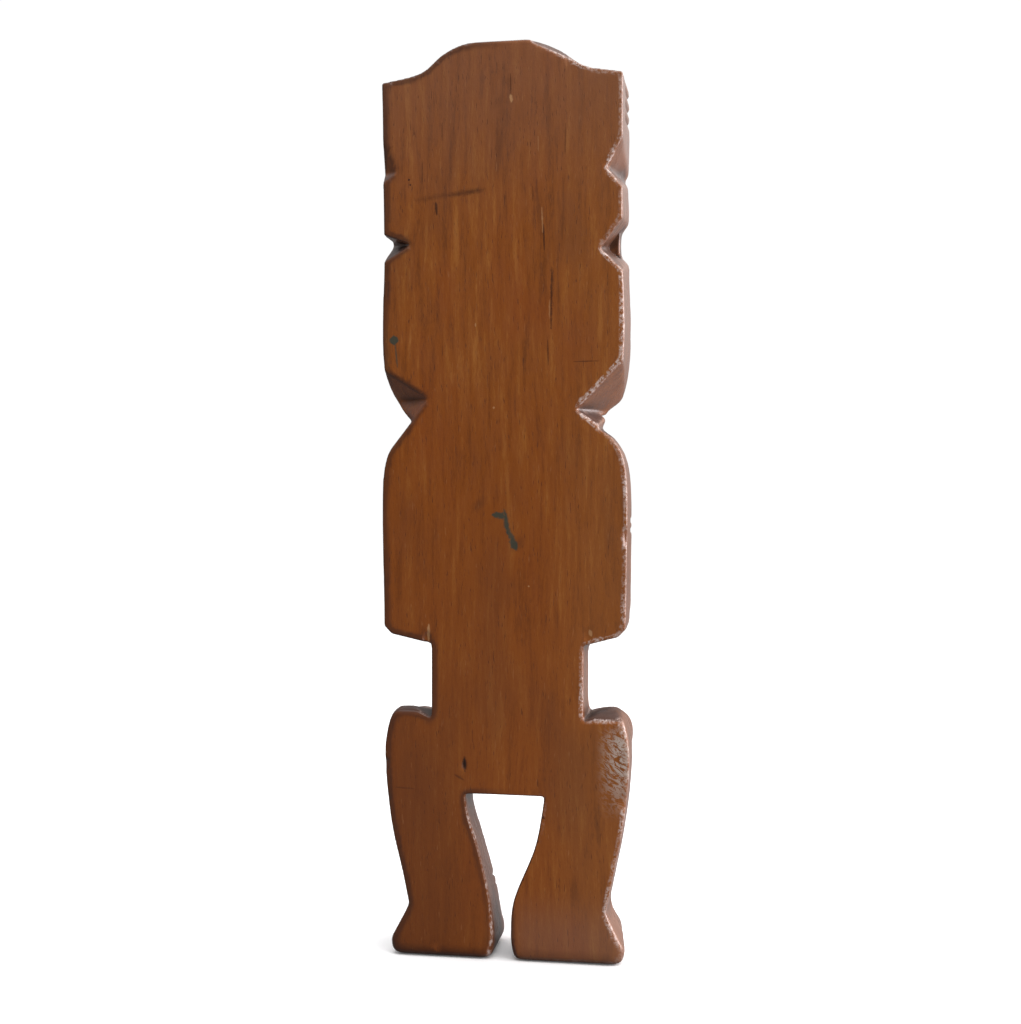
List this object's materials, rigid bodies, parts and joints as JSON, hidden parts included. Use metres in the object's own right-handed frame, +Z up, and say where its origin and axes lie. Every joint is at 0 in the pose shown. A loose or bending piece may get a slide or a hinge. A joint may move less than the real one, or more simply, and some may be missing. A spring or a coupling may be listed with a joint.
{
  "type": "fertility doll",
  "caption": "Standing tiki-type figure carved from one flat-backed block of wood: broad masked head with inlaid shell eyes, hands on the belly, bent knees, open fork between the legs.",
  "frame": {"origin": "centre of the figure's box, on the surface its soles stand on", "axes": "+Z up; the figure looks towards -Y, its flat back faces +Y, and its own left side is +X"},
  "size_m": [0.0818, 0.028, 0.3],
  "materials": {
    "carved_wood": "reddish-brown stained hardwood under an old satin varnish",
    "eye_shell": "polished iridescent blue-green shell",
    "pupil_wood": "polished near-black hardwood"
  },
  "bodies": {
    "root": {"carved_figure": "carved_wood", "left_eye_shell": "eye_shell", "right_eye_shell": "eye_shell", "left_eye_pupil": "pupil_wood", "right_eye_pupil": "pupil_wood"}
  },
  "joints": []
}
